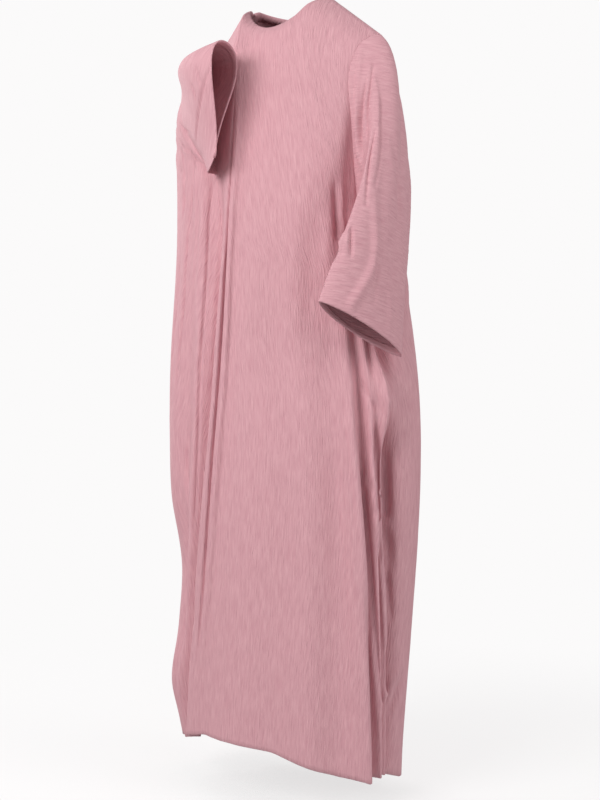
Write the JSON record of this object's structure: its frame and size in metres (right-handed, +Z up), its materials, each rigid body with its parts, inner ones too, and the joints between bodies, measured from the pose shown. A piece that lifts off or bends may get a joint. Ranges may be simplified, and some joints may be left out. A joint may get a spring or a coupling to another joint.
{
  "type": "abaya",
  "caption": "Long loose abaya in pink crinkle crepe with wide batwing sleeves, shown worn: one sleeve hangs and the other is raised to the chest.",
  "frame": {"origin": "the middle of the shoulder line at the neck, where the garment is held up", "axes": "+X towards the garment's own left, +Y towards its back, +Z up"},
  "size_m": [0.5295, 0.3948, 1.4677],
  "materials": {
    "crinkle_crepe": "matte pink crepe with a fine crinkle that runs down the body and across the sleeves"
  },
  "bodies": {
    "root": {"front_panel": "crinkle_crepe", "back_panel": "crinkle_crepe", "sleeve_left": "crinkle_crepe", "sleeve_right": "crinkle_crepe"}
  },
  "joints": []
}
